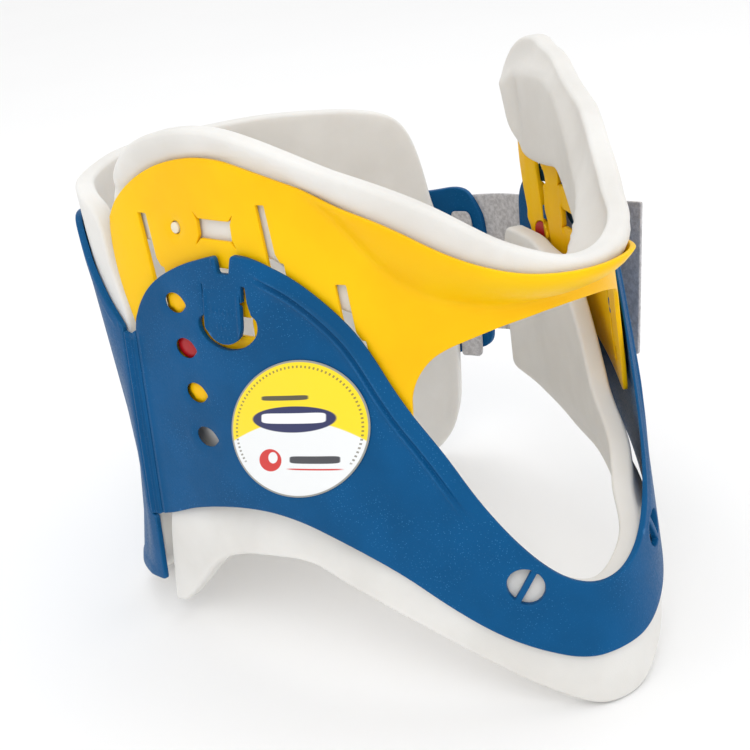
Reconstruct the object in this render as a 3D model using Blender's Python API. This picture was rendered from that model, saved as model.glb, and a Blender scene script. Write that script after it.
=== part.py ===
"""Adjustable cervical collar: die-cut plastic and foam sheets wrapped around one tapered neck wall.

Every sheet is drawn flat in wall coordinates (u, z) in millimetres and then wrapped. u is the distance
around the outer wall from the middle of the front nose, positive towards the wearer's right (-X) and on
around the back; z is the height. Depth is measured from the wall's outer face, positive outwards.
The collar's front faces -Y and it stands on z = 0.
"""

import math

import bmesh
import bpy
from mathutils import Vector
from mathutils.geometry import delaunay_2d_cdt

MM = 0.001

# Plan of the outer wall, from the front nose to the middle of the back, for the wearer's left half.
BASE_PLAN = [(0, -94), (19, -87), (37, -68), (55, -38), (67, -4), (75, 30), (80, 60), (68, 86), (34, 95), (0, 97)]
TOP_PLAN = [(0, -72), (19, -66), (36, -50), (52, -26), (63, -2), (71, 28), (76, 58), (65, 81), (32, 89), (0, 91)]
PLAN_TOP_Z = 140.0     # height of the upper plan; the base plan lies at z = 0, and the taper runs on above
GIRTH_Z = 60.0         # height at which u is measured
PLAN_OFFSET = (-0.132, 0.057)   # moves the plan so that the collar's box is centred on the origin
SAMPLES = 24           # curve samples between two plan points

# Thicknesses and depths of the layers.
SHELL = 1.8            # blue shell
CHIN_SHEET = 1.5       # yellow chin support
FOAM = 6.2
GAP = 0.4              # between two layers
CHIN_DEPTH = -SHELL - 0.9
CHIN_FOAM_DEPTH = CHIN_DEPTH - CHIN_SHEET - 1.5 * GAP
BODY_FOAM_DEPTH = CHIN_FOAM_DEPTH - GAP
BACK_FOAM_DEPTH = -SHELL - GAP

# Chin shelf: how far the chin support leans out beyond the wall.
SIDE_FLARE = 5.0
FRONT_FLARE = 20.5
FLARE_REACH = 30.0
LEAN_GAP = 2.1         # extra room between chin support and foam where they lean out

# Size adjustment: four sizes one pitch apart in height, with the second size from the top selected.
# The chin piece leans back by SLIDE_LEAN for each millimetre that it rises.
PITCH = 14.3
SLIDE_LEAN = 0.15

HINGE_U = 162.5        # living hinge between the front body and the back panel
HINGE_HALF = 1.5
LOCK_U, LOCK_TOP, LOCK_BOTTOM, LOCK_HALF = 113.0, 125.0, 108.0, 7.0
LOCK_SLOT = 2.2
LOCK_PROUD = 1.5       # how far the tip of an open lock tab stands out
LOCK_BOSS = 1.4
LOCK_BOSS_U = 110.0
LOCK_HOLE_U, LOCK_HOLE_Z = 112.0, 143.0    # topmost of the four lock holes
LABEL_U, LABEL_Z, LABEL_R = 91.0, 84.0, 22.5
WINDOW_U, WINDOW_Z, WINDOW_R = 137.0, 118.0, 3.3    # topmost of the four size windows
CANNULA = (25.0, 41.0, 5.6)    # u, z and radius of the cannula hook's round opening
CANNULA_TILT, CANNULA_BAR = -55.0, 14.0    # degrees: direction of its bar, and half the angle that the bar takes
JOINT = 0.3            # gap between two pieces that lie edge to edge
HOOK_DROP, HOOK_HALF, HOOK_WIDE = 2 * PITCH + 3.5, 2.5, 2.0    # guide hook: place in its slot, half height, width
HOOK_DEPTH = -1.0      # depth of its root inside the blue shell
SLOT_HALF, SLOT_WIDE = 1.9, 4.7            # guide slot: half width, and reach of its wide part
SLOT_WIDE_TOP, SLOT_WIDE_LOW = 0.3, 0.44   # share of the slot's length where the wide part starts and ends
LOCK_HOLE_HALF = (8.0, 3.0)
RIVET_U, RIVET_Z, RIVET_R = 131.0, 142.0, 1.7    # rivet of the chin foam
STRAP_RIVET_Q, STRAP_RIVET_R = 5.5, 3.2

# The strap starts on the back panel, turns with its end and then runs straight; q is measured along it.
STRAP_START = 194.0    # wall distance of its fixed end, on the wearer's left
STRAP_FIXED = 12.0     # riveted stretch
STRAP_TURN = 22.0
STRAP_LENGTH = 107.0
STRAP_LOW, STRAP_WIDTH = 52.0, 55.0
STRAP_RISE = 0.125
STRAP_LIFT, STRAP_THICK = 0.4, 1.2
STRAP_FORWARD = (-0.036, -1.0, 0.0)

COLUMN = 6.0           # spacing of mesh columns around the wall
ROW = 14.0             # spacing of mesh rows up the wall
EDGE = 7.0             # longest stretch of outline between two mesh points
KEEP_OFF = 0.4         # share of a column by which grid points stay clear of the outline
SLIVER = 1e-3          # flat triangles of less area than this lie on a straight edge and are dropped

BLUE = (0.0, 0.075, 0.215, 1.0)
YELLOW = (0.98, 0.60, 0.004, 1.0)
WHITE = (0.82, 0.80, 0.76, 1.0)
RED = (0.45, 0.006, 0.010, 1.0)
GREY = (0.42, 0.41, 0.43, 1.0)
BLACK = (0.03, 0.03, 0.035, 1.0)
SATIN, GLOSS, FIBRE, FOAM_SKIN = 0.38, 0.33, 0.9, 0.8    # roughness of shell, small plastic, fabric and foam


def clear_scene():
    for obj in list(bpy.data.objects):
        bpy.data.objects.remove(obj, do_unlink=True)


# ---------------------------------------------------------------- the wall

def closed_curve(half):
    """Closed smooth curve through a half plan and its mirror image, as evenly parametrised points."""
    points = [Vector(p) for p in half] + [Vector((-x, y)) for x, y in reversed(half[1:-1])]
    curve = []
    for i, p1 in enumerate(points):
        p0, p2, p3 = points[i - 1], points[(i + 1) % len(points)], points[(i + 2) % len(points)]
        for k in range(SAMPLES):
            t = k / SAMPLES
            curve.append(0.5 * (2 * p1 + (p2 - p0) * t + (2 * p0 - 5 * p1 + 4 * p2 - p3) * t ** 2
                                + (3 * p1 - p0 - 3 * p2 + p3) * t ** 3))
    return curve


BASE_CURVE = closed_curve(BASE_PLAN)
TOP_CURVE = closed_curve(TOP_PLAN)
COUNT = len(BASE_CURVE)


def plan_at(index, z):
    """Point of the wall's plan at a fractional curve index and a height."""
    low = int(math.floor(index))
    part = index - low
    height = z / PLAN_TOP_Z
    ends = []
    for k in (low % COUNT, (low + 1) % COUNT):
        ends.append(BASE_CURVE[k] * (1 - height) + TOP_CURVE[k] * height)
    return ends[0] * (1 - part) + ends[1] * part


def girth_table():
    table = [0.0]
    for i in range(COUNT):
        table.append(table[-1] + (plan_at(i + 1, GIRTH_Z) - plan_at(i, GIRTH_Z)).length)
    return table


GIRTH = girth_table()
AROUND = GIRTH[-1]     # once around the wall
BACK_U = AROUND / 2


def index_at(u):
    """Curve index at wall distance u, which grows towards -X while the curve runs towards +X."""
    distance = (-u) % AROUND
    low, high = 0, COUNT
    while high - low > 1:
        middle = (low + high) // 2
        if GIRTH[middle] <= distance:
            low = middle
        else:
            high = middle
    return low + (distance - GIRTH[low]) / (GIRTH[high] - GIRTH[low])


def wall(u, z, depth=0.0):
    """Point in metres at wall distance u, height z and a depth along the outward normal."""
    index = index_at(u)
    point = plan_at(index, z)
    along = plan_at(index + 1, z) - plan_at(index - 1, z)
    normal = Vector((along.y, -along.x)).normalized()
    point = point + normal * depth + Vector(PLAN_OFFSET)
    return Vector((point.x, point.y, z)) * MM


def lean_along(u, z, drop):
    """Point that lies lower than (u, z) by drop on the sliding direction of the chin piece."""
    slid = wall(u, z) - Vector((0.0, SLIDE_LEAN, 1.0)) * drop * MM
    below = wall(u, z - drop)
    step = wall(u + 1.0, z - drop) - below
    return u + (slid - below).dot(step) / step.length_squared, z - drop


# ---------------------------------------------------------------- outlines

def ramp(value, low, high):
    t = min(1.0, max(0.0, (value - low) / (high - low)))
    return t * t * (3 - 2 * t)


def along(points, x):
    """Height of a polyline of (x, y) points at x."""
    for (x0, y0), (x1, y1) in zip(points, points[1:]):
        if x <= x1:
            return y0 + (y1 - y0) * max(0.0, (x - x0) / (x1 - x0))
    return points[-1][1]


def mirror(points):
    return [(-u, z) for u, z in reversed(points)]


def arc(u, z, r, start=0.0, end=360.0, steps=16):
    """Points of an arc in wall coordinates; a full circle leaves out its last point."""
    full = abs(end - start) >= 360.0
    angles = [math.radians(start + (end - start) * k / steps) for k in range(steps if full else steps + 1)]
    return [(u + r * math.cos(a), z + r * math.sin(a)) for a in angles]


def bar(top, bottom, width):
    """Slot outline of one width between two (u, z) points."""
    half = width / 2
    return [(bottom[0] - half, bottom[1]), (bottom[0] + half, bottom[1]), (top[0] + half, top[1]),
            (top[0] - half, top[1])]


def resample(points, longest, closed=True):
    out = []
    ends = points[1:] + points[:1] if closed else points[1:]
    for a, b in zip(points, ends):
        steps = max(1, math.ceil(math.dist(a, b) / longest))
        out += [(a[0] + (b[0] - a[0]) * k / steps, a[1] + (b[1] - a[1]) * k / steps) for k in range(steps)]
    return out if closed else out + [points[-1]]


def inside(point, loop):
    x, y = point
    hit = False
    for (x0, y0), (x1, y1) in zip(loop, loop[1:] + loop[:1]):
        if (y0 > y) != (y1 > y) and x < x0 + (x1 - x0) * (y - y0) / (y1 - y0):
            hit = not hit
    return hit


def nearest(point, loop):
    """Distance from a point to a closed loop."""
    best = 1e9
    p = Vector(point)
    for a, b in zip(loop, loop[1:] + loop[:1]):
        a, b = Vector(a), Vector(b)
        side = b - a
        t = min(1.0, max(0.0, (p - a).dot(side) / max(side.length_squared, 1e-9)))
        best = min(best, (p - a - side * t).length)
    return best


# ---------------------------------------------------------------- sheets

def paint(obj, colour, roughness):
    material = bpy.data.materials.new(obj.name + "_material")
    material.use_nodes = True
    shader = material.node_tree.nodes["Principled BSDF"]
    shader.inputs["Base Color"].default_value = colour
    shader.inputs["Roughness"].default_value = roughness
    shader.inputs["Metallic"].default_value = 0.0
    obj.data.materials.append(material)


def add_object(name, mesh, colour, roughness, pivot=(0, 0, 0)):
    """Link a mesh given in world metres, with the object's origin moved to its pivot."""
    pivot = Vector(pivot)
    for vertex in mesh.vertices:
        vertex.co -= pivot
    obj = bpy.data.objects.new(name, mesh)
    obj.location = pivot
    bpy.context.collection.objects.link(obj)
    paint(obj, colour, roughness)
    return obj


def flat_mesh(outline, holes, column, row):
    """Triangles of an outline with holes, with grid points inside it."""
    loops = [resample(outline, EDGE)] + [resample(hole, EDGE) for hole in holes]
    points, edges = [], []
    for loop in loops:
        first = len(points)
        points += loop
        edges += [(first + k, first + (k + 1) % len(loop)) for k in range(len(loop))]
    us = [p[0] for p in loops[0]]
    zs = [p[1] for p in loops[0]]
    for i in range(math.floor(min(us) / column), math.ceil(max(us) / column) + 1):
        for j in range(math.floor(min(zs) / row), math.ceil(max(zs) / row) + 1):
            spot = (i * column, j * row)
            if inside(spot, loops[0]) and not any(inside(spot, hole) for hole in loops[1:]):
                if min(nearest(spot, loop) for loop in loops) > KEEP_OFF * column:
                    points.append(spot)
    result = delaunay_2d_cdt([Vector(p) for p in points], edges, [], 0, 1e-5)
    flat, faces = result[0], []
    for face in result[2]:
        a, b, c = (flat[k] for k in face)
        centre = (a + b + c) / 3
        if abs((b - a).cross(c - a)) > SLIVER and inside(centre, loops[0]):
            if not any(inside(centre, hole) for hole in loops[1:]):
                faces.append(list(face))
    return flat, faces


def sheet(name, outline, colour, roughness, outer=0.0, inner=-SHELL, holes=(), pivot=(0, 0, 0),
          column=COLUMN, row=ROW, place=wall):
    """A die-cut sheet wrapped on the wall; outer and inner are depths, or functions of (u, z)."""
    outer_at = outer if callable(outer) else lambda u, z: outer
    inner_at = inner if callable(inner) else lambda u, z: inner
    flat, faces = flat_mesh(outline, list(holes), column, row)
    used = sorted({k for face in faces for k in face})
    bm = bmesh.new()
    front = {k: bm.verts.new(place(flat[k].x, flat[k].y, outer_at(flat[k].x, flat[k].y))) for k in used}
    back = {k: bm.verts.new(place(flat[k].x, flat[k].y, inner_at(flat[k].x, flat[k].y))) for k in used}
    sides = {}
    for face in faces:
        bm.faces.new([front[k] for k in face])
        bm.faces.new([back[k] for k in reversed(face)])
        for a, b in zip(face, face[1:] + face[:1]):
            sides[(a, b)] = sides.get((a, b), 0) + 1
    for a, b in sides:
        if (b, a) not in sides:
            bm.faces.new([front[b], front[a], back[a]])
            bm.faces.new([front[b], back[a], back[b]])
    bmesh.ops.recalc_face_normals(bm, faces=bm.faces)
    mesh = bpy.data.meshes.new(name)
    bm.to_mesh(mesh)
    bm.free()
    return add_object(name, mesh, colour, roughness, pivot)


def join_solids(target, parts):
    """Unite small solids with a sheet, so that they are one moulding."""
    for k, part in enumerate(parts):
        part.hide_render = True
        part.display_type = "WIRE"
        modifier = target.modifiers.new("union_%d" % k, "BOOLEAN")
        modifier.operation = "UNION"
        modifier.object = part


# ---------------------------------------------------------------- shell

ARM_TOP = [(7, 39), (15, 43), (24, 52), (34, 66), (42, 81), (52, 95), (61, 113), (70, 122), (82, 130), (94, 134),
           (103, 136), (107, 136), (107.5, 130), (112.5, 130), (113, 135.5), (120, 134), (134, 130), (148, 123),
           (157, 115)]
ARM_LOW = [(11, 17), (23, 21), (35, 26), (48, 34), (61, 43), (77, 50), (94, 55), (113, 55), (138, 49), (152, 43)]
RIGHT_REAR = HINGE_U - HINGE_HALF - JOINT
RIGHT_END = [(RIGHT_REAR, 107), (RIGHT_REAR, 40), (157, 40)]
LEFT_END = [(158, 105), (157, 60), (155, 47)]


def tongue(side, half, top):
    """Outline of a tongue that hangs from its straight top edge and ends in a half circle."""
    points = [(LOCK_U + half, top)] + arc(LOCK_U, LOCK_BOTTOM + LOCK_HALF, half, 0, -180, 12)
    points.append((LOCK_U - half, top))
    return [(side * u, z) for u, z in points]


def cannula_holes(side):
    """Two half-moon holes whose shared bar holds a cannula tube."""
    u, z, r = CANNULA
    first, last = CANNULA_TILT + CANNULA_BAR, CANNULA_TILT + 180 - CANNULA_BAR
    upper = arc(u, z, r, first, last, 8)
    lower = arc(u, z, r, first + 180, last + 180, 8)
    return [[(side * a, b) for a, b in loop] for loop in (upper, lower)]


def windows(side):
    return [lean_along(side * WINDOW_U, WINDOW_Z, k * PITCH) for k in range(4)]


def front_body():
    """Both arms and the nose as one moulding, with windows, lock openings and guide hooks."""
    right = ARM_TOP + RIGHT_END + ARM_LOW[::-1]
    left = ARM_TOP + LEFT_END + ARM_LOW[::-1]
    outline = right + [(0, 17)] + mirror(left) + [(0, 38)]
    holes = []
    for side in (1, -1):
        holes += [arc(u, z, WINDOW_R, steps=12) for u, z in windows(side)]
        holes += [tongue(side, LOCK_HALF + LOCK_SLOT, LOCK_TOP)] + cannula_holes(side)
    body = sheet("front_body", outline, BLUE, SATIN, holes=holes)
    hooks = []
    for side in (1, -1):
        for k, (top_u, top_z, _) in enumerate(GUIDE_SLOTS):
            u, z = lean_along(side * top_u, top_z, HOOK_DROP)
            block = bar((u, z + HOOK_HALF), (u, z - HOOK_HALF), HOOK_WIDE)
            hooks.append(sheet("hook_cutter_%d_%d" % (side, k), block, BLUE, SATIN, outer=HOOK_DEPTH,
                               inner=CHIN_DEPTH - CHIN_SHEET, column=3.0))
    join_solids(body, hooks)
    return body


def back_panel():
    """Shell of the collar's back, from the living hinge to the end that carries the strap."""
    start, end = HINGE_U + HINGE_HALF + JOINT, AROUND - 182
    outline = [(start, 17), (start, 105), (175, 109), (187, 115), (194, 121), (206, 125), (BACK_U, 127),
               (AROUND - 205, 124), (AROUND - 192, 117), (AROUND - 185, 112), (end, 106), (end, 38),
               (AROUND - 186, 32), (AROUND - 195, 26), (AROUND - 215, 14), (BACK_U, 10), (200, 10)]
    return sheet("back_panel", outline, BLUE, SATIN, pivot=wall(HINGE_U, 0.0))


def living_hinge():
    """Thin web with two raised ribs between the front body and the back panel."""
    low, high = HINGE_U - HINGE_HALF, HINGE_U + HINGE_HALF

    def ribbed(u, z):
        return -0.2 if abs(u - HINGE_U) > 0.6 * HINGE_HALF else -0.7

    outline = [(low, 41), (HINGE_U, 41), (high, 41), (high, 104), (HINGE_U, 104), (low, 104)]
    return sheet("living_hinge", outline, BLUE, SATIN, outer=ribbed, inner=-1.4, row=20.0)


def lock_tab(name, side):
    """Tongue that swings inwards on its upper edge until its boss enters a lock hole of the chin support."""

    def outer(u, z):
        return 0.2 + LOCK_PROUD * (LOCK_TOP - z) / (LOCK_TOP - LOCK_BOTTOM)

    def inner(u, z):
        across = 1 - ramp(abs(abs(u) - LOCK_BOSS_U), 2.5, 3.5)
        up = 1 - ramp(abs(z - LOCK_HOLE_Z + 2 * PITCH), 1.2, 2.0)
        return outer(u, z) - 1.6 - LOCK_BOSS * across * up

    return sheet(name, tongue(side, LOCK_HALF - JOINT, LOCK_TOP - GAP), BLUE, SATIN, outer=outer, inner=inner,
                 pivot=wall(side * LOCK_U, LOCK_TOP, -0.7), column=2.5, row=1.2)


# ---------------------------------------------------------------- chin piece

CHIN_TOP = [(0, 128), (14, 130), (29, 139), (42, 144), (58, 150), (73, 156), (97, 161), (114, 163), (129, 162),
            (142, 157), (153, 150), (159, 143)]
CHIN_REAR = [(162, 137), (161, 127), (160, 116), (157, 100), (152, 86), (147, 82)]
CHIN_LOW = [(70, 82), (54, 82), (50, 88), (47, 95), (42, 101), (36, 105), (26, 108), (12, 110)]
FLARE_START = [(0, 106), (26, 110), (42, 115), (52, 127), (61, 144), (70, 152), (82, 160), (94, 163), (113, 164),
               (134, 161.5), (148, 156), (160, 150)]
FLARE_END = [(0, 124), (26, 130), (42, 142), (52, 152), (61, 162), (72, 168), (90, 173), (113, 174), (134, 171),
             (160, 160)]
GUIDE_SLOTS = [(147, 145, 51), (91.5, 151, 52), (64.5, 130, 50)]    # top u, top z and length


def flare(u, z):
    """Lean of the chin piece beyond the wall."""
    s = abs(u)
    reach = SIDE_FLARE + FRONT_FLARE * math.exp(-(s / FLARE_REACH) ** 1.7)
    return reach * ramp(z, along(FLARE_START, s), along(FLARE_END, s))


def guide_slot(side, top_u, top_z, length):
    """Slot for a guide hook, with the wide part through which the hook is fitted."""
    wide_top, wide_low = SLOT_WIDE_TOP * length, SLOT_WIDE_LOW * length

    def edge(drop, offset):
        u, z = lean_along(side * top_u, top_z, drop)
        return u + side * offset, z

    narrow = [edge(length, -SLOT_HALF), edge(0, -SLOT_HALF)]
    stepped = [edge(0, SLOT_HALF), edge(wide_top, SLOT_HALF), edge(wide_top, SLOT_WIDE),
               edge(wide_low, SLOT_WIDE), edge(wide_low, SLOT_HALF), edge(length, SLOT_HALF)]
    return narrow + stepped


def chin_support():
    """Chin shelf with guide slots, the four lock holes of each side and the size markers' holes."""
    half = CHIN_TOP[1:] + CHIN_REAR + CHIN_LOW
    outline = half + [(0, 111)] + mirror(half) + [CHIN_TOP[0]]
    holes = []
    for side in (1, -1):
        holes += [guide_slot(side, *slot) for slot in GUIDE_SLOTS]
        for k in range(4):
            u, z = lean_along(side * LOCK_HOLE_U, LOCK_HOLE_Z, k * PITCH)
            across, up = LOCK_HOLE_HALF
            holes.append([(u - across, z - up), (u + across, z - up), (u + across, z + up), (u - across, z + up)])
        holes.append(arc(side * RIVET_U, RIVET_Z, RIVET_R + GAP, steps=10))
        holes.append(arc(*windows(side)[1], WINDOW_R + 1.0, steps=12))
    return sheet("chin_support", outline, YELLOW, GLOSS, holes=holes, row=7.0,
                 outer=lambda u, z: CHIN_DEPTH + flare(u, z),
                 inner=lambda u, z: CHIN_DEPTH - CHIN_SHEET + flare(u, z))


def chin_foam():
    """Foam lining of the chin piece, with its rim standing above the plastic and a lobe on each side."""
    top = [(14, 139), (29, 149), (42, 154.5), (58, 161), (73, 167), (97, 172), (114, 173), (129, 172), (142, 167),
           (152, 160), (158, 152)]
    rear = [(160.5, 144), (159, 138), (152, 134.5)]
    low = [(97, 136), (89, 133), (80, 126), (70, 117.5), (60, 112), (50, 109), (26, 111), (12, 112)]
    half = top + rear + low
    outline = half + [(0, 113)] + mirror(half) + [(0, 136)]

    def outer(u, z):
        lean = flare(u, z)
        return CHIN_FOAM_DEPTH + lean - LEAN_GAP * ramp(lean, 0.0, SIDE_FLARE)

    return sheet("chin_foam", outline, WHITE, FOAM_SKIN, row=7.0, outer=outer, inner=lambda u, z: outer(u, z) - FOAM)


def size_marker(name, side):
    """Red plug in the chin support that shows the chosen size through a window."""
    u, z = windows(side)[1]
    return sheet(name, arc(u, z, WINDOW_R + 0.6, steps=12), RED, GLOSS, outer=CHIN_DEPTH,
                 inner=CHIN_DEPTH - CHIN_SHEET, column=3.0, row=3.0)


def foam_rivet(name, side):
    """Plastic rivet that pins the chin foam to the chin support."""
    return sheet(name, arc(side * RIVET_U, RIVET_Z, RIVET_R, steps=10), WHITE, GLOSS, outer=CHIN_DEPTH + 0.5,
                 inner=CHIN_DEPTH - CHIN_SHEET, column=2.0, row=2.0)


# ---------------------------------------------------------------- foam, strap and label

def front_foam():
    """Foam lining behind both arms and the nose; it shows as a soft edge below the shell."""
    top = [(15, 40), (24, 46), (36, 57), (50, 67), (62, 77), (72, 86.5), (82, 96), (90, 101.5), (98, 104), (150, 104)]
    right_low = [(154, 96), (154, 10), (142, 10.5), (130, 25), (122, 33), (109, 37), (94, 40), (86, 37), (64, 28),
                 (44, 18), (31, 11), (21, 6), (13, 2), (6, 0)]
    left_low = [(155, 90), (153, 47), (140, 48), (133, 47), (114, 39), (94, 38), (86, 36), (64, 28), (44, 18),
                (31, 11), (21, 6), (13, 2), (6, 0)]
    outline = top + right_low + mirror(left_low) + mirror(top) + [(0, 35)]

    def outer(u, z):
        return BACK_FOAM_DEPTH + (BODY_FOAM_DEPTH - BACK_FOAM_DEPTH) * ramp(z, 40, 52)

    return sheet("front_foam", outline, WHITE, FOAM_SKIN, outer=outer, inner=lambda u, z: outer(u, z) - FOAM, row=10.0)


def back_foam():
    """Foam lining of the back panel; it is taller than the panel and runs around on its free end."""
    start, end = HINGE_U + HINGE_HALF + 0.6, AROUND - 198
    outline = [(start, 24), (start, 144), (169, 150), (178, 153), (BACK_U - 20, 154), (BACK_U, 153), (302, 150),
               (328, 143), (335, 139), (end - 1, 131), (end, 120), (end, 16), (end - 2, 8), (end - 8, 0),
               (AROUND - 225, 0), (BACK_U, 0), (205, 0), (190, 6), (175, 14)]
    return sheet("back_foam", outline, WHITE, FOAM_SKIN, outer=BACK_FOAM_DEPTH, inner=BACK_FOAM_DEPTH - FOAM)


def strap_place(q, z, depth):
    """Point on the strap: around the back panel's end, then straight forwards past the left arm."""
    z += STRAP_RISE * q
    turn = min(q, STRAP_TURN)
    point = wall(AROUND - STRAP_START + turn, z, STRAP_LIFT + depth)
    return point + Vector(STRAP_FORWARD).normalized() * (q - turn) * MM


def strap():
    """Loop-faced closing strap; it bends where it leaves the back panel."""
    low, high = STRAP_LOW, STRAP_LOW + STRAP_WIDTH
    corner, cut = 6.0, 1.8
    outline = [(STRAP_FIXED + JOINT, low), (STRAP_LENGTH - corner, low)]
    outline += [(STRAP_LENGTH - cut, low + cut), (STRAP_LENGTH, low + corner), (STRAP_LENGTH, high - corner)]
    outline += [(STRAP_LENGTH - cut, high - cut), (STRAP_LENGTH - corner, high), (STRAP_FIXED + JOINT, high)]
    pivot = strap_place(STRAP_FIXED, 0.0, STRAP_THICK)
    return sheet("strap", outline, GREY, FIBRE, outer=STRAP_THICK, inner=0.0, pivot=pivot, row=22.0,
                 place=strap_place)


def strap_fixed_end():
    """Stretch of the strap that is riveted to the outside of the back panel."""
    end, high = STRAP_FIXED - JOINT, STRAP_LOW + STRAP_WIDTH
    outline = [(0, STRAP_LOW), (end, STRAP_LOW), (end, high), (0, high)]
    return sheet("strap_fixed_end", outline, GREY, FIBRE, outer=STRAP_THICK, inner=0.0, row=22.0,
                 place=strap_place, column=4.0)


def strap_backing():
    """Fabric pad inside the back panel's end, behind the strap's rivets."""
    u = AROUND - 196.5
    outline = [(u, 42), (u + 9, 42), (u + 10, 44), (u + 10, 98), (u + 8, 102), (u, 102)]
    return sheet("strap_backing", outline, GREY, FIBRE, outer=-SHELL - JOINT, inner=-SHELL - JOINT - 1.0, row=20.0)


def hook_patch():
    """Hook pad on the left arm that holds the strap."""
    outline = [(AROUND - 151, 74), (AROUND - 129, 74), (AROUND - 129, 104), (AROUND - 151, 104)]
    return sheet("hook_patch", outline, BLACK, FIBRE, outer=1.1, inner=0.3, row=18.0)


def label():
    """Round printed sticker on the right arm."""
    return sheet("label", arc(LABEL_U, LABEL_Z, LABEL_R, steps=32), WHITE, GLOSS, outer=0.6, inner=0.3)


def strap_rivet(name, z):
    """Rivet head on the strap's fixed end."""
    head = arc(STRAP_RIVET_Q, z, STRAP_RIVET_R, steps=12)
    return sheet(name, head, GREY, GLOSS, outer=STRAP_THICK + 1.1, inner=STRAP_THICK + JOINT,
                 column=3.0, row=3.0, place=strap_place)


def build():
    clear_scene()
    front_body()
    living_hinge()
    back_panel()
    lock_tab("lock_tab_right", 1)
    lock_tab("lock_tab_left", -1)
    chin_support()
    chin_foam()
    size_marker("size_marker_right", 1)
    size_marker("size_marker_left", -1)
    foam_rivet("foam_rivet_right", 1)
    foam_rivet("foam_rivet_left", -1)
    front_foam()
    back_foam()
    strap()
    strap_fixed_end()
    strap_backing()
    hook_patch()
    label()
    strap_rivet("strap_rivet_upper", 96)
    strap_rivet("strap_rivet_lower", 62)


build()
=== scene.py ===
"""Looks of the adjustable cervical collar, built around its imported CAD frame.

Every shell, foam and strap is a sheet that is drawn flat in wall coordinates (u, z), in millimetres, and
wrapped on the tapered neck wall, as in the CAD model. u is the distance around the wall from the middle of
the front nose, positive towards the wearer's right (-X); z is the height; depth is positive outwards.
"""
import math

import bmesh
import bpy
import numpy as np
from mathutils import Matrix, Vector
from mathutils.geometry import delaunay_2d_cdt


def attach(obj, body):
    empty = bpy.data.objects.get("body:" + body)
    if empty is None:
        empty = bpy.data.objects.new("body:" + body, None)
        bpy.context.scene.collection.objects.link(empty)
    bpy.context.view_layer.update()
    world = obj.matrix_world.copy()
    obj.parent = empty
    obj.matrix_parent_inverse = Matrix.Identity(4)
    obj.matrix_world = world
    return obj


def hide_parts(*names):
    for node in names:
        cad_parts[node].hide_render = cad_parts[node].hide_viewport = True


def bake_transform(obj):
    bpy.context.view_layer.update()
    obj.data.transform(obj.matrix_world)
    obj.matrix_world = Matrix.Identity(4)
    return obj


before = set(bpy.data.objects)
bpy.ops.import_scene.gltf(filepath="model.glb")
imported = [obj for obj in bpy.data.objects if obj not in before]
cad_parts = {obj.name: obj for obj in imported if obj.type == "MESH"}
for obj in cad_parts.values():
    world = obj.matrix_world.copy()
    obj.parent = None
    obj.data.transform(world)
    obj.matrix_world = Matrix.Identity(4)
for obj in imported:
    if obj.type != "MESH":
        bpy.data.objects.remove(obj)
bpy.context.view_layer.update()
MM = 0.001

# Plan of the outer wall, from the front nose to the middle of the back, for the wearer's left half.
BASE_PLAN = [(0, -94), (19, -87), (37, -68), (55, -38), (67, -4), (75, 30), (80, 60), (68, 86), (34, 95),
             (0, 97)]
TOP_PLAN = [(0, -72), (19, -66), (36, -50), (52, -26), (63, -2), (71, 28), (76, 58), (65, 81), (32, 89),
            (0, 91)]
PLAN_TOP_Z = 140.0
GIRTH_Z = 60.0
PLAN_OFFSET = np.array((-0.132, 0.057))
SAMPLES = 24

# Layers, as depths from the wall's outer face.
SHELL = 1.8
CHIN_SHEET = 1.5
FOAM = 6.2
GAP = 0.4
CHIN_DEPTH = -SHELL - 0.9
CHIN_FOAM_DEPTH = CHIN_DEPTH - CHIN_SHEET - 1.5 * GAP
BODY_FOAM_DEPTH = CHIN_FOAM_DEPTH - GAP
BACK_FOAM_DEPTH = -SHELL - GAP

SIDE_FLARE, FRONT_FLARE, FLARE_REACH = 5.0, 16.0, 30.0
LEAN_GAP = 0.3
SPREAD, SPREAD_RISE = 4.0, 0.02       # how far the left side stands outwards at z = 0, and more per mm
SPREAD_FROM, SPREAD_FULL = -8, 32     # x where that starts, and where it is all there
WING_START, WING_LENGTH, WING_SHORT = 90, 80, 21      # left wing of the chin piece, and what it lacks
PITCH, SLIDE_LEAN = 14.3, 0.15        # height from one size to the next, and how far y moves per z
HOOK_DROP = 2 * PITCH + 3.5           # from a guide slot's top to its hook
HINGE_U = 162.5
WEB_LOW, WEB_HIGH = 159.0, 166.2      # the living hinge's web
SEAM = 0.12                           # half of the line between two mouldings
LOCK_U, LOCK_TOP, LOCK_BOTTOM, LOCK_HALF, LOCK_PROUD = 113.7, 125.0, 108.6, 8.2, 1.5
LOCK_ROOT = 121.8                     # height where the moving part of a lock tab starts
LOCK_HOLE_U, LOCK_HOLE_Z = 116.2, 142.0
LABEL_U, LABEL_Z = 89.8, 84.6
LABEL_RIGHT, LABEL_UP = (-27.1, 3.75), (-4.15, 22.1)  # steps of (u, z) from its centre to its edge
WINDOW_U, WINDOW_Z, WINDOW_WIDE, WINDOW_HIGH = 137.0, 118.0, 4.7, 3.25
CANNULA_U, CANNULA_Z, CANNULA_R, CANNULA_TILT, CANNULA_BAR = 25.0, 41.0, 5.5, -55.0, 9.0
RIVET_U, RIVET_Z = 135.2, 141.0
GUIDE_SLOTS = [(150.8, 144, 51), (93.7, 150.5, 52), (66.7, 128.5, 50)]    # top u, top z and length

STRAP_START, STRAP_TURN, STRAP_LENGTH = 194.0, 22.0, 99.5
STRAP_LOW, STRAP_WIDTH, STRAP_RISE = 52.0, 55.0, 0.125
STRAP_LIFT, STRAP_THICK = 0.4, 1.2
STRAP_FORWARD = np.array((-0.036, -1.0, 0.0))


# ---------------------------------------------------------------- the wall

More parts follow.
